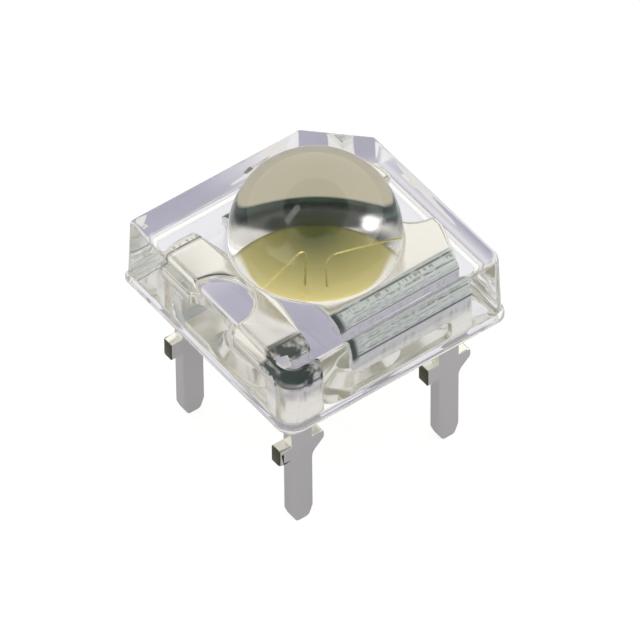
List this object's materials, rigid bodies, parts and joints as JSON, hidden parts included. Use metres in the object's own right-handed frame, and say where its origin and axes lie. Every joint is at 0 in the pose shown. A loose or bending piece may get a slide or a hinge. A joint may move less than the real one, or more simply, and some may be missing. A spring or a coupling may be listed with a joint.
{
  "type": "piranha led",
  "caption": "Square through-hole LED: clear epoxy block with a domed lens over a drawn reflector cup, with folded lead frames, phosphor fill, chip, bond wires and stand-off leads",
  "frame": {"origin": "Centre of the part's bounding box at the level of the lead tips.", "axes": "+Z points from the lead tips up through the dome. +X points from the wire frame to the cup frame. Y runs along the plates from one fold to the other. The polarity chamfer is on the +X +Y corner."},
  "size_m": [0.0076, 0.0076, 0.0099],
  "materials": {
    "clear_epoxy": "clear cast epoxy with a faint lavender tint, mould-smooth",
    "silver_plate": "silver-plated copper alloy sheet, bright on the plates and satin on the leads",
    "phosphor": "yellow phosphor powder in clear resin",
    "chip": "sawn and polished sapphire",
    "glue": "cured white adhesive",
    "gold": "drawn gold wire"
  },
  "bodies": {
    "root": {"epoxy_body": "clear_epoxy", "cup_lead_frame": "silver_plate", "wire_lead_frame": "silver_plate", "phosphor_fill": "phosphor", "led_chip": "chip", "chip_glue": "glue", "long_bond_wire": "gold", "short_bond_wire": "gold"}
  },
  "joints": []
}
